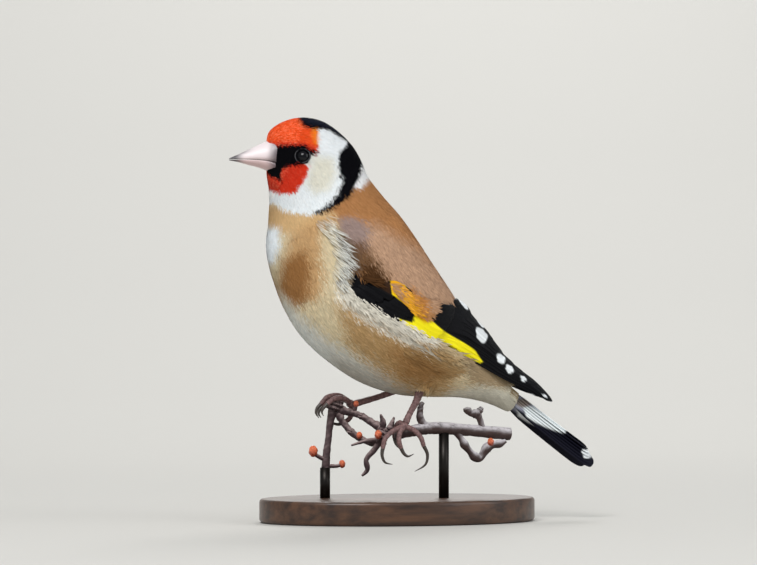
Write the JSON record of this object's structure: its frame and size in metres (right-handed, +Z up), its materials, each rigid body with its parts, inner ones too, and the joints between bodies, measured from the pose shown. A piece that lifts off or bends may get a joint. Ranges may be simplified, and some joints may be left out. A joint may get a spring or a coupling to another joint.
{
  "type": "perched european goldfinch on display stand",
  "caption": "Life-size still model of a European goldfinch gripping a cut hawthorn-like twig, carried over a small oval base by slim rods for display",
  "frame": {"origin": "middle of the bounding box, at the underside of the oval base", "axes": "The bird faces minus X, its left side is minus Y, Z is up"},
  "size_m": [0.096, 0.0498, 0.1026],
  "materials": {
    "feathers": "soft matte",
    "flight_feathers": "low sheen",
    "bill": "smooth horn",
    "eye": "glossy",
    "leg_skin": "scaled, dull",
    "bark": "rough bark",
    "base_wood": "satin",
    "rod_metal": "satin"
  },
  "bodies": {
    "root": {"head": "feathers", "neck": "feathers", "torso": "feathers", "tail": "flight_feathers", "wing_left": "flight_feathers", "wing_right": "flight_feathers", "leg_left_thigh": "feathers", "leg_right_thigh": "feathers", "leg_left_shank": "leg_skin", "leg_right_shank": "leg_skin", "leg_left_foot": "leg_skin", "leg_right_foot": "leg_skin", "bill_upper": "bill", "bill_lower": "bill", "eye_left": "eye", "eye_right": "eye", "perch_stem": "bark", "perch_fork": "bark", "perch_branch": "bark", "stand_base": "base_wood", "stand_rod_front": "rod_metal", "stand_rod_rear": "rod_metal"}
  },
  "joints": []
}
